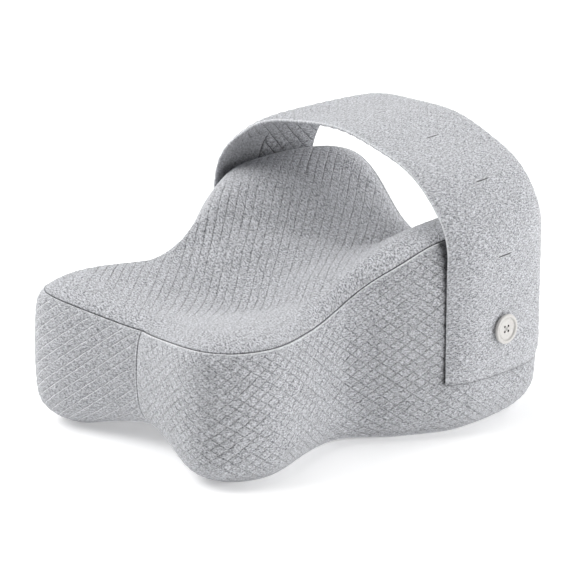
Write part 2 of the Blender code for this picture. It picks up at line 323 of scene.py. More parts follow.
def cover_points(i, j, k):
    """Where the points of an evenly divided cube lie on the cushion, with the facts that the cloth needs."""
    nx, ny, nz = COVER_STEPS
    in_x, in_y = np.minimum(i, nx - i), np.minimum(j, ny - j)
    ring = np.minimum(np.minimum(in_x, in_y), EDGE_STEPS)
    across_shares = 1 - 0.92 * np.linspace(0, 1, nx // 2 - EDGE_STEPS - 2) ** 1.3
    across_shares = np.concatenate([across_shares, [0.02, 0.006, 0]])
    along_shares = np.linspace(1, 0, ny // 2 - EDGE_STEPS + 1)
    found = np.zeros((len(i), 8))
    for top in (True, False):
        chosen = k > 0 if top else k == 0
        side_y, side_x = np.sign(j - ny / 2)[chosen], np.sign(i - nx / 2)[chosen]
        end = np.where(side_y > 0, LENGTH, 0.0)
        along = side_y * line_share(in_y[chosen], along_shares, end, top)
        across = side_x * line_share(in_x[chosen], across_shares, LENGTH / 2 * (1 + along), top)
        across, along = rounded_plan(across, along)
        y = LENGTH / 2 * (1 + along)
        angle = ring_angle(ring[chosen], y, top)
        seam = edge_rings(y, top)[SEAM_RING]
        found[chosen] = np.stack([across, along, y, angle, seam, *([0 * y] * 3)], axis=1)
    across, along, y, angle, seam = found[:, :5].T
    x = across * half_width(y)
    reach = between(CHANNEL_SHARE_FRONT, CHANNEL_SHARE_REAR, np.clip(y / LENGTH, 0, 1))
    hollow = 0.5 + 0.5 * np.cos(pi * np.minimum(np.abs(across) / reach, 1))
    depth = ease(y / LENGTH)
    drop = crest_drop(x, y)
    y = y + FRONT_RECESS * hollow * ((1 - along) / 2) ** 3 - REAR_RECESS * hollow * ((1 + along) / 2) ** 3
    y = y + FRONT_SEAM_PINCH * near(x, FRONT_SEAM_SPREAD) * np.maximum(-along, 0) ** 8

    upper = rim_height(y) - between(TOP_CHANNEL_FRONT, TOP_CHANNEL_REAR, depth) * hollow
    lift = WAIST_LIFT * near(y - WAIST_LIFT_AT, WAIST_LIFT_SPREAD) * across**2
    lower = between(LOWER_CHANNEL_FRONT, LOWER_CHANNEL_REAR, depth) * hollow + lift
    lower = np.maximum(lower - FOOT_FLAT, 0)
    wall = between(lower + BOTTOM_EDGE_RADIUS, upper - TOP_EDGE_RADIUS, k / nz)
    on_top = upper - TOP_EDGE_RADIUS * (1 - np.sin(angle)) - drop
    below = lower + BOTTOM_EDGE_RADIUS * (1 - np.sin(angle))
    z = np.where(ring > 0, np.where(k > 0, on_top, below), wall)

    power = squareness(along)
    out = np.stack([
        np.abs(across) ** (power - 1) * np.sign(across) / half_width(y),
        np.abs(along) ** (power - 1) * np.sign(along) / (LENGTH / 2),
    ], axis=1)
    out /= np.maximum(np.linalg.norm(out, axis=1), 1e-9)[:, None]
    belly = np.where(ring == 0, BELLY * (1 - (2 * k / nz - 1) ** 2), 0)
    points = np.stack([x + out[:, 0] * belly, y + out[:, 1] * belly, z], axis=1)
    return points, out, ring, angle, seam


def perimeter(points, i, j, k):
    """The wall's top edge from above, from the front's middle round by the right, and the way along it."""
    nx, ny, nz = COVER_STEPS
    on_edge = (k == nz) & ((i == 0) | (i == nx) | (j == 0) | (j == ny))
    index = {(int(i[n]), int(j[n])): n for n in np.nonzero(on_edge)[0]}
    loop = [(a, 0) for a in range(nx // 2, nx)] + [(nx, b) for b in range(ny)]
    loop += [(a, ny) for a in range(nx, 0, -1)] + [(0, b) for b in range(ny, 0, -1)]
    loop += [(a, 0) for a in range(nx // 2 + 1)]
    line = points[[index[key] for key in loop], :2]
    lengths = np.concatenate([[0], np.cumsum(np.linalg.norm(np.diff(line, axis=0), axis=1))])
    fine = np.linspace(0, lengths[-1], 4000)
    return np.stack([np.interp(fine, lengths, places) for places in line.T], axis=1), fine


def distance_to(points, line):
    """How far each point is from the nearest point of a line, and which one that is."""
    apart = np.linalg.norm(points[:, None] - line[None], axis=2)
    return apart.min(axis=1), apart.argmin(axis=1)


def add_fact(mesh, name, values):
    mesh.attributes.new(name, "FLOAT", "POINT").data.foreach_set("value", values.astype(np.float32))


def read_fact(mesh, name):
    values = np.zeros(len(mesh.vertices), np.float32)
    mesh.attributes[name].data.foreach_get("value", values)
    return values.astype(float)


def add_map(mesh, name, places):
    mesh.uv_layers.new(name=name).data.foreach_set("uv", places.astype(np.float32).ravel())


def corner_points(mesh):
    corners = np.zeros(len(mesh.loops), np.int32)
    mesh.loops.foreach_get("vertex_index", corners)
    return corners


def make_cover_shell():
    """The cover as a closed mesh, with its flat cloth and its quilting as two maps."""
    nx, ny, nz = COVER_STEPS
    bm = bmesh.new()
    bmesh.ops.create_cube(bm, size=2)
    for axis, steps in enumerate(COVER_STEPS):
        edges = [e for e in bm.edges if abs(e.verts[0].co[axis] - e.verts[1].co[axis]) > 1]
        bmesh.ops.subdivide_edges(bm, edges=edges, cuts=steps - 1, use_grid_fill=True)
    mesh = bpy.data.meshes.new("quilted_cover")
    bm.to_mesh(mesh)
    bm.free()
    cube = np.array([v.co for v in mesh.vertices])
    i, j, k = (np.rint((cube[:, axis] + 1) / 2 * steps).astype(int) for axis, steps in enumerate(COVER_STEPS))
    points, out, ring, angle, seam = cover_points(i, j, k)
    mesh.vertices.foreach_set("co", (points + WHOLE).astype(np.float32).ravel())

    line, along_line = perimeter(points, i, j, k)
    _, nearest = distance_to(points[:, :2], line)
    round_the_wall = along_line[nearest]
    whole_round = along_line[-1]
    corners = corner_points(mesh).reshape(-1, 4)
    on_top = (k[corners] == nz).all(axis=1) & (ring[corners] >= SEAM_RING).all(axis=1)
    beneath = (k[corners] == 0).all(axis=1) & (ring[corners] >= SEAM_RING).all(axis=1)
    panel = np.where(on_top, 1, np.where(beneath, 2, 0))

    wall_height = points[:, 2] + np.where((ring > 0) & (k > 0), TOP_EDGE_RADIUS * (angle - np.sin(angle)), 0)
    wall_height -= np.where((ring > 0) & (k == 0), BOTTOM_EDGE_RADIUS * (angle - np.sin(angle)), 0)
    radius = np.where(k > 0, TOP_EDGE_RADIUS, BOTTOM_EDGE_RADIUS)
    spread = radius * ((pi / 2 - angle) - np.cos(angle))
    flat = points[:, :2] + out * np.where(ring < EDGE_STEPS, spread, 0)[:, None]

    middle_x = points[corners, 0].mean(axis=1)
    band_u = round_the_wall[corners]
    wraps = (panel == 0) & (band_u.max(axis=1) - band_u.min(axis=1) > whole_round / 2)
    at_start = band_u < whole_round / 2
    band_u = np.where(wraps[:, None] & at_start & (middle_x < 0)[:, None], band_u + whole_round, band_u)
    band_u = np.where(wraps[:, None] & ~at_start & (middle_x > 0)[:, None], band_u - whole_round, band_u)
    band = np.stack([band_u, wall_height[corners]], axis=2)
    flat = flat[corners]
    cloth = np.where((panel == 0)[:, None, None], band, flat)
    diamonds = np.where((panel == 0)[:, None, None], np.array(BAND_DIAMOND), np.array(TOP_DIAMOND))
    add_map(mesh, "cloth", cloth)
    turned = np.stack([
        flat[:, :, 0] * cos(TOP_DIAMOND_TURN) + flat[:, :, 1] * sin(TOP_DIAMOND_TURN),
        flat[:, :, 1] * cos(TOP_DIAMOND_TURN) - flat[:, :, 0] * sin(TOP_DIAMOND_TURN),
    ], axis=2)
    add_map(mesh, "quilting", np.where((panel == 0)[:, None, None], band, turned) / diamonds)

    seams = (ring == SEAM_RING) & ((k == nz) | (k == 0))
    front = (i == nx // 2) & (points[:, 1] < LENGTH / 4) & ((ring <= SEAM_RING) | ((k > 0) & (k < nz)))
    from_seam, _ = distance_to(points, points[seams])
    from_front, _ = distance_to(points, points[front])
    above = (k == nz) & (ring > SEAM_RING)
    add_fact(mesh, "from_seam", np.where(above, from_seam, -from_seam))
    add_fact(mesh, "from_front_seam", from_front)
    add_fact(mesh, "underneath", ((k == 0) & (ring >= SEAM_RING)).astype(float))

    cover = bpy.data.objects.new("quilted_cover", mesh)
    bpy.context.scene.collection.objects.link(cover)
    group = cover.vertex_groups.new(name="underneath")
    group.add([int(n) for n in np.nonzero((k == 0) & (ring >= SEAM_RING + 2))[0]], 1.0, "REPLACE")
    return cover


def puffs(places, falling_depth, rising_depth):
    """The quilting's height, up to 1 in the middle of a diamond. Each set of its lines has its own depth."""
    height = 1
    for sign, depth in ((1, falling_depth), (-1, rising_depth)):
        line = places[..., 0] + sign * places[..., 1]
        height = height * (1 - np.clip(depth * (1 - np.abs(np.sin(pi * line))), 0, 1))
    return height**0.7


def quilting_places(mesh):
    places = np.zeros(len(mesh.loops) * 2, np.float32)
    mesh.uv_layers["quilting"].data.foreach_get("uv", places)
    at_points = np.zeros((len(mesh.vertices), 2))
    at_points[corner_points(mesh)] = places.reshape(-1, 2)
    return at_points


def point_places(mesh):
    places = np.zeros(len(mesh.vertices) * 3, np.float32)
    mesh.vertices.foreach_get("co", places)
    return places.reshape(-1, 3).astype(float)


def push_out(mesh, heights):
    """Moves each point of a mesh that far along its normal."""
    normals = np.zeros(len(mesh.vertices) * 3, np.float32)
    mesh.vertex_normals.foreach_get("vector", normals)
    moved = point_places(mesh) + normals.reshape(-1, 3) * heights[:, None]
    mesh.vertices.foreach_set("co", moved.astype(np.float32).ravel())
    mesh.update()


def flatten_below(mesh, height):
    """Presses the points that are lower than that up to it, as a table does."""
    for v in mesh.vertices:
        v.co.z = max(v.co.z, height)


def lumps(mesh, size):
    """Gentle unevenness from -1 to 1, about that far from one lump to the next."""
    return np.array([noise.noise(v.co / size) for v in mesh.vertices])


def smooth_once(piece):
    smoothing = piece.modifiers.new("smoothing", "SUBSURF")
    smoothing.levels = smoothing.render_levels = 1
    apply_modifiers(piece)


def swell(cover):
    """Lets the cloth swell a little over its filling, held along its seams."""
    mesh = cover.data
    before = point_places(mesh)
    from_a_seam = np.minimum(np.abs(read_fact(mesh, "from_seam")), read_fact(mesh, "from_front_seam"))
    held = (from_a_seam < HELD_BY_SEAM) | (read_fact(mesh, "underneath") > 0.5)
    cover.vertex_groups.new(name="held").add([int(n) for n in np.nonzero(held)[0]], 1.0, "REPLACE")
    cloth = cover.modifiers.new("cloth", "CLOTH")
    cloth.settings.vertex_group_mass = "held"
    cloth.settings.use_pressure = True
    cloth.settings.uniform_pressure_force = SWELL_PRESSURE
    cloth.settings.effector_weights.gravity = 0
    cloth.point_cache.frame_start, cloth.point_cache.frame_end = 1, SWELL_FRAMES
    for number in range(1, SWELL_FRAMES + 1):
        bpy.context.scene.frame_set(number)
    apply_modifiers(cover)
    bpy.context.scene.frame_set(1)
    moved = point_places(mesh) - before
    far = np.linalg.norm(moved, axis=1)
    after = before + moved * (np.minimum(far, SWELL_LIMIT) / np.maximum(far, 1e-9))[:, None]
    mesh.vertices.foreach_set("co", after.astype(np.float32).ravel())
    mesh.update()


def at_left_front(x, y):
    """1 at the front's left corner, fading to nothing towards its middle and along the left flank."""
    return ease((0.02 - x) / 0.03) * ease((0.06 - y) / 0.05)


def quilting_depths(mesh, x, y):
    """How deep the quilting is, then each set of its lines, and the weight of the painted highlight along the
    rising lines.
    """
    from_seam = read_fact(mesh, "from_seam")
    above = from_seam > 0
    depth = ease((np.abs(from_seam) - 0.001) / np.where(above, 0.016, 0.0025))
    depth *= ease((read_fact(mesh, "from_front_seam") - 0.001) / 0.0025)
    depth *= (0.85 + 0.5 * lumps(mesh, 0.03)) * np.where(read_fact(mesh, "underneath") > 0.5, 0.5, 1)
    into_channel = between(0.45, 1, ease((y - 0.045 - 0.6 * np.maximum(x, -0.03)) / 0.05))
    depth *= np.where(above, into_channel * between(0.6, 1, ease((0.09 - x) / 0.03)), 1)
    toward_rear = ease((y - 0.17) / 0.05)
    left_front = at_left_front(x, y)
    falling = np.where(above, 0.85, between(0.85, 0.4, left_front))
    rising = np.where(above, between(0.4, 0.8, toward_rear), 0.9)
    # Weight of a painted highlight along the rising lines, full at the front's left corner where the light
    # falls on their creases
    painted_highlight = np.where(above, between(0.1, 0.35, toward_rear), between(0.15, 1, left_front))
    return depth, depth * falling, depth * rising, depth * painted_highlight


def make_cover():
    cover = make_cover_shell()
    smooth_once(cover)
    swell(cover)
    smooth_once(cover)
    thinning = cover.modifiers.new("thinning", "DECIMATE")
    thinning.vertex_group = "underneath"
    thinning.ratio = 0.72
    apply_modifiers(cover)
    mesh = cover.data
    x, y, _ = (point_places(mesh) - np.array(WHOLE)).T
    from_seam, from_front = read_fact(mesh, "from_seam"), read_fact(mesh, "from_front_seam")
    outside = 1 - read_fact(mesh, "underneath")
    depth, falling_depth, rising_depth, crease_highlight = quilting_depths(mesh, x, y)
    lip = near(from_seam + SEAM_LIP_AT, SEAM_LIP_SPREAD)
    front_lip = near(from_front - SEAM_LIP_AT, SEAM_LIP_SPREAD) * (from_seam < -SEAM_LIP_AT)

    heights = PUFF_HEIGHT * (puffs(quilting_places(mesh), falling_depth, rising_depth) - 1 + 0.5 * depth)
    heights -= SEAM_DEPTH * (near(from_seam, SEAM_HALF_WIDTH) + near(from_front, SEAM_HALF_WIDTH))
    heights += SEAM_LIP * np.maximum(lip, 0.6 * front_lip) + 0.0005 * lumps(mesh, 0.045) * outside
    push_out(mesh, heights)
    flatten_below(mesh, 0)

    z = point_places(mesh)[:, 2]
    # Painted shadow on the flank just behind the strap's front edge, where the strap stands off the cover
    shade_under_strap = ease((y - STRAP_FRONT - UNDER_STRAP_EDGE) / 0.0012) * (y < STRAP_FRONT + STRAP_WIDTH / 2)
    shade_under_strap *= ease((z - STRAP_END_HEIGHT) / 0.003) * (from_seam < 0) * (x > 0)
    # Painted shade along the top, bottom and front seams, where their crease lies in shadow
    seam_shade = near(np.minimum(np.abs(from_seam), from_front), SEAM_SHADOW)
    # Painted highlight on the lips just beside the seams, weaker at the front's left corner
    painted_highlight_line = np.maximum(lip, 0.7 * front_lip) * outside * between(0.8, 0.3, at_left_front(x, y))
    add_fact(mesh, "top_panel", ease(from_seam / 0.004))
    add_fact(mesh, "falling_depth", falling_depth)
    add_fact(mesh, "rising_depth", rising_depth)
    add_fact(mesh, "crease_highlight", crease_highlight)
    # This fact carries painted shade: the seams' dark lines and the shadow behind the strap's front edge
    add_fact(mesh, "painted_shade_line", np.maximum(seam_shade, shade_under_strap))
    add_fact(mesh, "painted_highlight_line", painted_highlight_line)
    mesh.shade_smooth()
    return cover


# Strap


def strap_shares(distances):
    """The shares of the strap's run at those distances from its buttoned end, measured along its middle."""
    shares = np.linspace(0, 1, 4001)
    line = strap_inside(shares, np.full(len(shares), 0.5))
    walked = np.concatenate([[0], np.cumsum(np.linalg.norm(np.diff(line, axis=0), axis=1))])
    return np.interp(distances, walked, shares), walked[-1]


def strap_spot(distance):
    """The matrix of a spot on the strap's outside, that far up from the buttoned end: Z points out."""
    share = float(strap_shares([distance])[0][0])
    spots = ((0, 0.5), (0.001, 0.5), (-0.001, 0.5), (0, 0.52), (0, 0.48))
    found = [Vector(strap_inside(np.array(share + step), np.array(across))) for step, across in spots]
    here, above, below, behind, before = found
    along = (above - below).normalized()
    rearward = (behind - before).normalized()
    out = rearward.cross(along).normalized()
    rearward = along.cross(out)
    turned = Matrix((rearward, along, out)).transposed().to_4x4()
    return Matrix.Translation(WHOLE + here + out * STRAP_THICKNESS) @ turned


def buttonhole_places():
    for number in range(BUTTONHOLE_COUNT):
        gap = HELD_BUTTONHOLE_GAP if number == 0 else BUTTONHOLE_GAP
        yield FIRST_BUTTONHOLE + number * BUTTONHOLE_STEP, gap


def thinned(apart, share, taper):
    """How thick the strap is near an edge or an end, as a share of its whole thickness."""
    rounding = np.sqrt(1 - (1 - np.clip(apart / STRAP_EDGE_ROUND, 0, 1)) ** 2)
    return rounding * between(share, 1, ease(apart / taper))


def strap_frames(distances, across):
    """The strap's share, inner face and outward direction at those distances along and shares across it."""
    share = strap_shares(distances)[0]
    step = 1e-4
    inside = strap_inside(share, across)
    up = strap_inside(np.clip(share + step, 0, 1), across) - strap_inside(np.clip(share - step, 0, 1), across)
    rear = strap_inside(share, across + step) - strap_inside(share, across - step)
    out = np.cross(rear, up)
    return share, inside, out / np.linalg.norm(out, axis=-1)[..., None]


def strap_lines(length):
    """How far along and across the strap its mesh has lines, closer at its edges and its buttonholes."""
    rounding = np.array([0, 0.0001, 0.0004, 0.0009])
    rows = np.arange(0.0016, length - 0.0016, STRAP_DIAMOND[1] / 8)
    rows = np.concatenate([rounding, rows, length - rounding[::-1]])
    for at, gap in buttonhole_places():
        rows = rows[np.abs(rows - at) > gap / 2 + STITCH_WIDTH + 0.0003]
        lips = gap / 2 + STITCH_WIDTH * np.array([0, 0.35, 1])
        rows = np.sort(np.concatenate([rows, at - lips, at + lips]))
    columns = STRAP_WIDTH / 2 + np.arange(-40, 41) * STRAP_DIAMOND[0] / 8
    columns = columns[(columns > 0.0016) & (columns < STRAP_WIDTH - 0.0016)]
    return rows, np.concatenate([rounding, columns, STRAP_WIDTH - rounding[::-1]])


def from_buttonholes(row, column):
    """How far each point is from the nearest buttonhole."""
    apart = np.full(row.shape, 1.0)
    past_end = np.maximum(np.abs(column - STRAP_WIDTH / 2) - BUTTONHOLE_LENGTH / 2, 0)
    for at, gap in buttonhole_places():
        apart = np.minimum(apart, np.hypot(np.maximum(np.abs(row - at) - gap / 2, 0), past_end))
    return apart


def strap_faces(rows, columns):
    """The faces of the strap's two sides and of the walls of its buttonholes."""
    number = np.arange(len(rows) * len(columns)).reshape(len(rows), len(columns))
    quads = np.stack([number[:-1, :-1], number[:-1, 1:], number[1:, 1:], number[1:, :-1]], axis=2)
    kept = np.ones(quads.shape[:2], bool)
    walls = []
    in_hole = np.nonzero(np.abs(columns - STRAP_WIDTH / 2) < BUTTONHOLE_LENGTH / 2)[0]
    first, last = int(in_hole[0]), int(in_hole[-1])
    for at, gap in buttonhole_places():
        r = int(np.argmin(np.abs(rows - (at - gap / 2))))
        kept[r, first:last] = False
        rim = [(r, c) for c in range(first, last + 1)] + [(r + 1, c) for c in range(last, first - 1, -1)]
        walls += [(number[a], number[b], number[b] + number.size, number[a] + number.size)
                  for a, b in zip(rim, rim[1:] + rim[:1])]
    outer = quads[kept]
    return [tuple(int(n) for n in quad) for quad in [*outer, *(outer[:, ::-1] + number.size), *walls]]


def close_up(mesh):
    """Joins the two sides of a mesh where they meet, and turns all its faces outwards."""
    bm = bmesh.new()
    bm.from_mesh(mesh)
    bmesh.ops.remove_doubles(bm, verts=bm.verts, dist=0.00001)
    bmesh.ops.recalc_face_normals(bm, faces=bm.faces)
    loose = [v for v in bm.verts if not v.link_faces]
    bmesh.ops.delete(bm, geom=loose, context="VERTS")
    bm.to_mesh(mesh)
    bm.free()


def make_strap():
    _, length = strap_shares([0])
    rows, columns = strap_lines(length)
    row, column = np.meshgrid(rows, columns, indexing="ij")
    share, inside, out = strap_frames(row, column / STRAP_WIDTH)
    side, end = np.minimum(column, STRAP_WIDTH - column), np.minimum(row, length - row)
    edge = np.minimum(side, end)
    end_share = thinned(end, STRAP_END_SHARE, STRAP_END_TAPER)
    half = STRAP_THICKNESS / 2 * thinned(side, STRAP_EDGE_SHARE, STRAP_EDGE_TAPER) * end_share
    press = STRAP_END_PRESS * (1 - ease(end / STRAP_END_TAPER)) * column / STRAP_WIDTH
    on_wall = ease((STRAP_WALL_SHARE + 0.03 - share) / 0.06)
    press += STRAP_EDGE_PRESS * on_wall * (1 - ease(column / STRAP_EDGE_PRESS_REACH)) * ease(row / 0.02)

    hole = from_buttonholes(row, column)
    fade = ease(edge / 0.0012) * ease((hole - STITCH_WIDTH / 2) / 0.0025)
    stitch = near(hole - STITCH_WIDTH * 0.4, STITCH_WIDTH * 0.4)
    on_lining = ease((share - INNER_SEAM_FROM) / 0.01)
    inner_seam = near(np.abs(column - STRAP_WIDTH / 2) + 0.1 * (1 - on_lining), INNER_SEAM_WIDTH)
    plain = on_lining * (column < STRAP_WIDTH / 2)
    worn = 0.12 * np.sin(23 * share + 5 * column / STRAP_WIDTH)
    shown = between(0.3, 0.9, ease((share - 0.52) / 0.1)) + worn
    depths = np.stack([fade * shown, fade * (1 - plain)])
    places = np.stack([column / STRAP_DIAMOND[0], row / STRAP_DIAMOND[1]], axis=2)
    puff = STRAP_PUFF_HEIGHT * end_share * (puffs(places, 0.9 * depths, 0.9 * depths) - 1 + 0.5 * depths)
    flattened = STRAP_THICKNESS / 2 * np.where(end < side + STRAP_END_TAPER, end_share, 1)
    middle = inside + out * (flattened - press)[:, :, None]
    raised = half + puff[0] + STITCH_HEIGHT * stitch * ease(edge / 0.002)
    sunk = half + puff[1] - INNER_SEAM_WIDTH * inner_seam
    sides = [middle + out * raised[:, :, None], middle - out * sunk[:, :, None]]

    mesh = bpy.data.meshes.new("strap_band")
    points = np.concatenate([points.reshape(-1, 3) for points in sides]) + WHOLE
    mesh.from_pydata([tuple(point) for point in points], [], strap_faces(rows, columns))
    corners = corner_points(mesh) % row.size
    cloth = np.stack([column.ravel()[corners], row.ravel()[corners]], axis=1)
    add_map(mesh, "cloth", cloth)
    add_map(mesh, "quilting", cloth / np.array(STRAP_DIAMOND))
    for name, strength in (("falling_depth", 0.9), ("rising_depth", 0.9), ("crease_highlight", 0.1)):
        add_fact(mesh, name, strength * depths.ravel())
    # Painted shade in the buttonhole slits, over their middle
    slit = 0.95 * near(hole, 0.00035) * ease((0.0078 - np.abs(column - STRAP_WIDTH / 2)) / 0.004)
    # Painted shade at the strap's buttoned end, where it steps down onto the cover
    dark = np.maximum(slit, 0.9 * near(row, 0.0014))
    # On the strap's inner face, painted shade along its inner seam, and along its front edge on the buttoned
    # wall where it stands off the flank
    inside_shade = np.maximum(0.9 * inner_seam, on_wall * near(column, 0.002))
    add_fact(mesh, "painted_shade_line", np.stack([dark, np.maximum(dark, inside_shade)]).ravel())
    # Painted highlight along the strap's front edge, stronger up on the arch than on the buttoned wall, and
    # on the buttonholes' stitched lips
    edge_highlight = between(0.7, 0.3, on_wall) * near(column - 0.0004, 0.0004)
    painted_highlight = np.maximum(edge_highlight, 0.4 * stitch * (hole > 0.0002))
    add_fact(mesh, "painted_highlight_line", np.stack([painted_highlight, 0 * painted_highlight]).ravel())
    close_up(mesh)
    mesh.shade_smooth()
    strap = bpy.data.objects.new("strap_band", mesh)
    bpy.context.scene.collection.objects.link(strap)
    return strap


# Button


def settle(piece, name, place):
    """Names a piece, puts it in its place, and leaves it unturned and unscaled."""
    piece.name = piece.data.name = name
    piece.matrix_world = place
    only(piece)
    bpy.ops.object.transform_apply(location=True, rotation=True, scale=True)
    return piece


def button_rings():
    """Radius and height of the button's rings, from the back round the rim to the well."""
    rim, well = BUTTON_RADIUS - BUTTON_RIM_WIDTH, BUTTON_THICKNESS - BUTTON_WELL_DEPTH
    edge = BUTTON_EDGE_RADIUS
    rings = [(BUTTON_BACK_RADIUS, 0), (BUTTON_RADIUS - 0.0006, 0.0010), (BUTTON_RADIUS - 0.0002, 0.0018)]
    rings += [
        (BUTTON_RADIUS - edge * (1 - cos(angle)), BUTTON_THICKNESS - edge * (1 - sin(angle)))
        for angle in (0, pi / 8, pi / 4, pi * 3 / 8, pi / 2)
    ]
    rings += [(rim + 0.0003, BUTTON_THICKNESS - 0.00005), (rim, BUTTON_THICKNESS - 0.0003)]
    rings += [(rim - 0.0004, well - BUTTON_GROOVE_DEPTH), (rim - 0.0009, well - BUTTON_GROOVE_DEPTH)]
    return rings + [(rim - 0.0014, well), (THREAD_HOLE_SPREAD + 0.002, well - 0.0001)]


def make_button(place):
    """A four-hole button with a raised rim. The walls of its holes take the second of its two finishes, a
    near-black painted shade.
    """
    rings = button_rings()
    deselect()
    bpy.ops.mesh.primitive_circle_add(vertices=96, radius=rings[0][0], fill_type="NGON")
    button = bpy.context.object
    bpy.ops.object.mode_set(mode="EDIT")
    for (radius, height), (next_radius, next_height) in zip(rings, rings[1:]):
        rise = (0, 0, next_height - height)
        bpy.ops.mesh.extrude_region_move(TRANSFORM_OT_translate={"value": rise})
        wider = next_radius / radius
        bpy.ops.transform.resize(value=(wider, wider, 1), center_override=(0, 0, 0))
    bpy.ops.mesh.select_all(action="SELECT")
    bpy.ops.mesh.normals_make_consistent(inside=False)
    bpy.ops.object.mode_set(mode="OBJECT")
    for number in range(4):
        angle = pi / 4 + number * pi / 2
        spot = (THREAD_HOLE_SPREAD * cos(angle), THREAD_HOLE_SPREAD * sin(angle), BUTTON_THICKNESS / 2)
        deselect()
        bpy.ops.mesh.primitive_cylinder_add(
            vertices=24, radius=THREAD_HOLE_RADIUS, depth=2 * BUTTON_THICKNESS, location=spot
        )
        drill = bpy.context.object
        hole = button.modifiers.new("hole", "BOOLEAN")
        hole.object = drill
        apply_modifiers(button)
        bpy.data.objects.remove(drill)
    rounding = button.modifiers.new("rounding", "BEVEL")
    rounding.width = 0.00012
    rounding.segments = 2
    rounding.limit_method = "ANGLE"
    rounding.angle_limit = radians(50)
    apply_modifiers(button)
    past_holes = THREAD_HOLE_SPREAD + 2 * THREAD_HOLE_RADIUS
    # The walls of the holes take the second finish, near-black painted shade
    for face in button.data.polygons:
        face.material_index = int(abs(face.normal.z) < 0.5 and face.center.xy.length < past_holes)
    bpy.ops.object.shade_smooth_by_angle(angle=radians(35))
    return settle(button, "four_hole_button", place)


def make_stitch(name, turn, place):
    """A loop of thread through two opposite holes of the button."""
    deselect()
    bpy.ops.mesh.primitive_torus_add(
        major_radius=THREAD_HOLE_SPREAD, minor_radius=THREAD_RADIUS, major_segments=48, minor_segments=10
    )
    stitch = bpy.context.object
    bpy.ops.object.mode_set(mode="EDIT")
    bpy.ops.transform.rotate(value=pi / 2, orient_axis="X", center_override=(0, 0, 0))
    bpy.ops.transform.resize(value=(1, 1, 0.72), center_override=(0, 0, 0))
    bpy.ops.transform.rotate(value=turn, orient_axis="Z", center_override=(0, 0, 0))
    bpy.ops.object.mode_set(mode="OBJECT")
    bpy.ops.object.shade_smooth()
    middle = Matrix.Translation((0, 0, (BUTTON_THICKNESS - BUTTON_WELL_DEPTH) / 2))
    return settle(stitch, name, place @ middle)


# Finishes


class Value:
    """A number from a shader node. Python's operators on it add Math nodes."""

    def __init__(self, finish, socket):
        self.finish = finish
        self.socket = socket

    def maths(self, operation, *others):
        return self.finish.node("Math", {"operation": operation}, self, *others)

    def __add__(self, other):
        return self.maths("ADD", other)

    def __radd__(self, other):
        return self.maths("ADD", other)

    def __sub__(self, other):
        return self.maths("SUBTRACT", other)

    def __rsub__(self, other):
        return self.finish.node("Math", {"operation": "SUBTRACT"}, other, self)

    def __mul__(self, other):
        return self.maths("MULTIPLY", other)

    def __rmul__(self, other):
        return self.maths("MULTIPLY", other)

    def __abs__(self):
        return self.maths("ABSOLUTE")

    def wrap(self):
        return self.maths("FRACT")

    def sine(self):
        return self.maths("SINE")

    def ease(self, low, high, start=0.0, end=1.0):
        """Runs smoothly from start to end while the value goes from low to high."""
        return self.finish.node("MapRange", {"interpolation_type": "SMOOTHSTEP"}, self, low, high, start, end)


class Finish:
    """A material that is built up from nodes."""

    def __init__(self, name, roughness, sheen=0.0, coat=0.0):
        self.material = bpy.data.materials.new(name)
        self.material.use_nodes = True
        self.tree = self.material.node_tree
        self.shader = self.tree.nodes["Principled BSDF"]
        self.shader.inputs["Roughness"].default_value = roughness
        self.shader.inputs["Sheen Weight"].default_value = sheen
        self.shader.inputs["Sheen Roughness"].default_value = 0.5
        self.shader.inputs["Coat Weight"].default_value = coat

    def node(self, kind, settings, *inputs, output=0, **named):
        """Adds a node of that kind with its settings, and its sockets' values or links by order or name."""
        made = self.tree.nodes.new("ShaderNode" + kind)
        for name, value in settings.items():
            setattr(made, name, value)
        for key, value in [*enumerate(inputs), *named.items()]:
            self.feed(made.inputs[key], value)
        return Value(self, made.outputs[output])

    def feed(self, socket, value):
        if isinstance(value, Value):
            self.tree.links.new(value.socket, socket)
        else:
            socket.default_value = value

    def mix(self, factor, a, b):
        """Mixes two colours."""
        made = self.tree.nodes.new("ShaderNodeMix")
        made.data_type = "RGBA"
        for index, value in ((0, factor), (6, a), (7, b)):
            value = (*value, 1) if isinstance(value, tuple) else value
            self.feed(made.inputs[index], value)
        return Value(self, made.outputs[2])

    def fact(self, name):
        return self.node("Attribute", {"attribute_name": name}, output=2)

    def map(self, name):
        return self.node("UVMap", {"uv_map": name})

    def parts(self, vector):
        """The X and the Y of a vector."""
        outputs = self.node("SeparateXYZ", {}, vector).socket.node.outputs
        return Value(self, outputs[0]), Value(self, outputs[1])

    def scaled(self, vector, scale, turn=0.0):
        return self.node("Mapping", {}, vector, Scale=scale, Rotation=(0, 0, turn))

    def grain(self, vector, detail=2.0, roughness=0.5, distortion=0.0):
        """Noise about one unit across, from 0 to 1."""
        return self.node(
            "TexNoise", {"noise_dimensions": "2D"}, Vector=vector, Scale=1.0, Detail=detail,
            Roughness=roughness, Distortion=distortion,
        )

    def bump(self, height, distance=0.001):
        """Bump from a height in units of distance."""
        return self.node("Bump", {}, Strength=1.0, Distance=distance, Height=height)

    def done(self, **sockets):
        for name, value in sockets.items():
            self.feed(self.shader.inputs[name.replace("_", " ")], value)
        return self.material


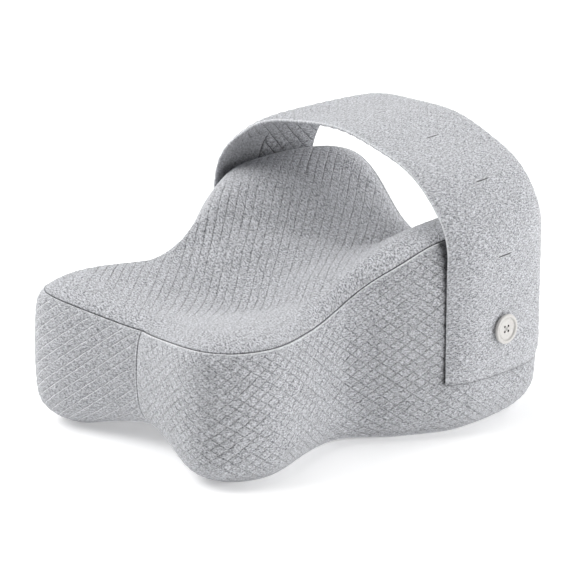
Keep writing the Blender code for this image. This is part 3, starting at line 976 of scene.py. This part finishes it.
def quilted_knit(name):
    """Heathered jersey in diamond quilting: light and dark fibres, fine stitches, painted shade in its
    creases in dotted lines and along its seams, and painted highlights along its rising creases and seam
    lips.
    """
    finish = Finish(name, roughness=0.92, sheen=0.25)
    light, dark = LIGHT_FIBRE, DARK_FIBRE
    cloth = finish.map("cloth")
    # Facts with the painted shade and the painted highlights
    painted_shade_line, painted_highlight_line = finish.fact("painted_shade_line"), finish.fact("painted_highlight_line")

    across, up = finish.parts(finish.map("quilting"))
    wobble = finish.grain(finish.scaled(cloth, (190, 190, 1)), detail=1.0) * 0.12
    lines = {"falling": across + up + wobble, "rising": across - up - wobble}
    creases, dotted_shade = [], []
    for line, other in (("falling", "rising"), ("rising", "falling")):
        from_line = 0.5 - abs(lines[line].wrap() - 0.5)
        crease = from_line.ease(0.0, 0.10, 1.0, 0.0) * finish.fact(line + "_depth")
        creases.append(crease)
        dotted_shade.append(crease * (0.55 + 0.45 * (lines[other] * (8 * pi)).sine()))
    crease_highlight = finish.fact("crease_highlight")
    # Painted shade beside each rising line, on the unlit side of its crease
    shade_beside = (lines["rising"] + 0.08).wrap()
    shade_beside = (0.5 - abs(shade_beside - 0.5)).ease(0.0, 0.10, 1.0, 0.0) * crease_highlight
    # A thin painted highlight along each rising line, on the lit wall of its crease, drawn like a pale thread
    thread = (0.5 - abs(lines["rising"].wrap() - 0.5)).ease(0.02, 0.07, 1.0, 0.0) * crease_highlight
    groove = creases[0].maths("MAXIMUM", creases[1] * (1 - 0.8 * crease_highlight))
    # Painted shade in the creases, broken into dots along the stitching, weaker where the rising lines carry
    # the painted highlight
    crease_shade = dotted_shade[0].maths("MAXIMUM", dotted_shade[1] * (1 - crease_highlight))

    x, y = finish.parts(cloth)
    wale = (x * (1 / 0.00095)).wrap()
    slant = abs(wale - 0.5) * 1.4
    course = (y * (1 / 0.00080) + slant).wrap()
    stitch = course.ease(0.0, 0.5) * course.ease(0.5, 1.0, 1.0, 0.0)
    rib = (0.5 - abs(wale - 0.5)).ease(0.0, 0.22)

    fibre = finish.grain(finish.scaled(cloth, (440, 1080, 1)), detail=3.0, roughness=0.65, distortion=0.6)
    fleck = finish.grain(finish.scaled(cloth, (760, 820, 1), 0.6), detail=2.0, roughness=0.6)
    cloud = finish.grain(finish.scaled(cloth, (95, 95, 1)), detail=2.0)
    worn = finish.grain(finish.scaled(cloth, (240, 240, 1)), detail=1.0).ease(0.32, 0.56)
    coarse = finish.fact("top_panel") * 0.35 + 1
    tone = (fibre.ease(0.37, 0.63) * 0.6 + fleck.ease(0.38, 0.62) * 0.4 - 0.44) * coarse
    colour = finish.mix(tone + cloud * 0.2 + 0.4, dark, light)
    # Painted highlight: the seam lips, the strap's edge and the thin line along the rising creases
    painted_highlight = (painted_highlight_line * 0.85).maths("MAXIMUM", thread * (0.45 + 0.55 * worn))
    colour = finish.mix(painted_highlight, colour, (0.93, 0.94, 0.96))
    # Painted shade: the dotted creases, the seams and strap edges, beside the highlights, and between the
    # knit's stitches
    shadow = crease_shade * (0.4 + 0.6 * worn) * 0.62 + painted_shade_line * 0.8 + shade_beside * 0.3 + (1 - rib * stitch) * 0.08
    colour = finish.mix(shadow, colour, tuple(0.2 * channel for channel in dark))
    height = stitch * rib * 0.06 + (fibre * 0.25 + fleck * 0.2) * coarse - groove * (0.4 + 0.4 * worn)
    return finish.done(Base_Color=colour, Normal=finish.bump(height))


def button_resin(name, light, dark):
    """Resin in the two given colours, with a faint cloud in it, and a soft gloss: cream on the button's body,
    near-black as painted shade on the walls of its holes.
    """
    finish = Finish(name, roughness=0.4, coat=0.05)
    place = finish.node("TexCoord", {}, output=3)
    cloud = finish.node("TexNoise", {}, Vector=place, Scale=900.0, Detail=3.0)
    return finish.done(Base_Color=finish.mix(cloud, dark, light), Roughness=0.34 + cloud * 0.14)


def thread_finish():
    finish = Finish("thread", roughness=0.8, sheen=0.2)
    place = finish.node("TexCoord", {}, output=3)
    twist = finish.node("TexWave", {"wave_type": "BANDS"}, Vector=place, Scale=900.0, Distortion=1.0)
    colour = finish.mix(twist, (0.30, 0.30, 0.30), (0.52, 0.51, 0.49))
    return finish.done(Base_Color=colour, Normal=finish.bump(twist * 0.08))


# Studio


def look_at(eye, target):
    back = (eye - target).normalized()
    right = Vector((0, 0, 1)).cross(back).normalized()
    turned = Matrix((right, back.cross(right), back)).transposed().to_4x4()
    return Matrix.Translation(eye) @ turned


def direction(azimuth, elevation):
    """Towards a place round the object: azimuth 0 is its front end, 90 degrees its buttoned flank."""
    return Vector((sin(azimuth) * cos(elevation), -cos(azimuth) * cos(elevation), sin(elevation)))


def add_camera():
    camera = bpy.data.objects.new("camera", bpy.data.cameras.new("camera"))
    bpy.context.scene.collection.objects.link(camera)
    camera.data.lens = CAMERA_LENS
    eye = CAMERA_TARGET + direction(CAMERA_AZIMUTH, CAMERA_ELEVATION) * CAMERA_DISTANCE
    camera.matrix_world = look_at(eye, CAMERA_TARGET)
    bpy.context.scene.camera = camera


def add_softbox(name, azimuth, elevation, power):
    lamp = bpy.data.lights.new(name, "AREA")
    lamp.shape = "SQUARE"
    lamp.size = SOFTBOX_SIZE
    lamp.energy = power
    softbox = bpy.data.objects.new(name, lamp)
    bpy.context.scene.collection.objects.link(softbox)
    place = CAMERA_TARGET + direction(azimuth, elevation) * SOFTBOX_DISTANCE
    softbox.matrix_world = look_at(place, CAMERA_TARGET)


def add_studio():
    world = bpy.data.worlds.new("studio")
    bpy.context.scene.world = world
    world.use_nodes = True
    world.node_tree.nodes["Background"].inputs["Color"].default_value = (1, 1, 1, 1)
    world.node_tree.nodes["Background"].inputs["Strength"].default_value = WORLD_GLOW
    for name, azimuth, elevation, power in SOFTBOXES:
        add_softbox(name, radians(azimuth), radians(elevation), power)
    bpy.context.scene.view_settings.view_transform = "Standard"
    deselect()
    bpy.ops.mesh.primitive_plane_add(size=12, location=(0, 0, 0))
    floor = bpy.context.object
    floor.name = "floor"
    finish = Finish("lit_acrylic", roughness=0.9)
    finish.shader.inputs["Emission Strength"].default_value = FLOOR_GLOW
    floor.data.materials.append(finish.done(Base_Color=(0.9, 0.9, 0.9, 1), Emission_Color=(1, 1, 1, 1)))


add_camera()
add_studio()

cover = make_cover()
cover.data.materials.append(quilted_knit("cover_knit"))
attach(cover, "root")
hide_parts("cushion")

strap = make_strap()
strap.data.materials.append(quilted_knit("strap_knit"))
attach(strap, "root")
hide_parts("strap")

on_strap = strap_spot(FIRST_BUTTONHOLE) @ Matrix.Translation((0, 0, FIT_GAP))
button = make_button(on_strap)
button.data.materials.append(button_resin("button_resin", (0.72, 0.70, 0.68), (0.50, 0.487, 0.47)))
# Near-black painted shade for the walls of the thread holes
button.data.materials.append(button_resin("button_hole_shade", (0.012, 0.012, 0.012), (0.008, 0.008, 0.008)))
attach(button, "root")
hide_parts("button")

thread = thread_finish()
for number, turn in ((1, pi / 4), (2, -pi / 4)):
    stitch = make_stitch(f"button_stitch_{number}", turn, on_strap)
    stitch.data.materials.append(thread)
    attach(stitch, "root")
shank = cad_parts["thread_shank"].data
shank.materials.clear()
shank.materials.append(thread)
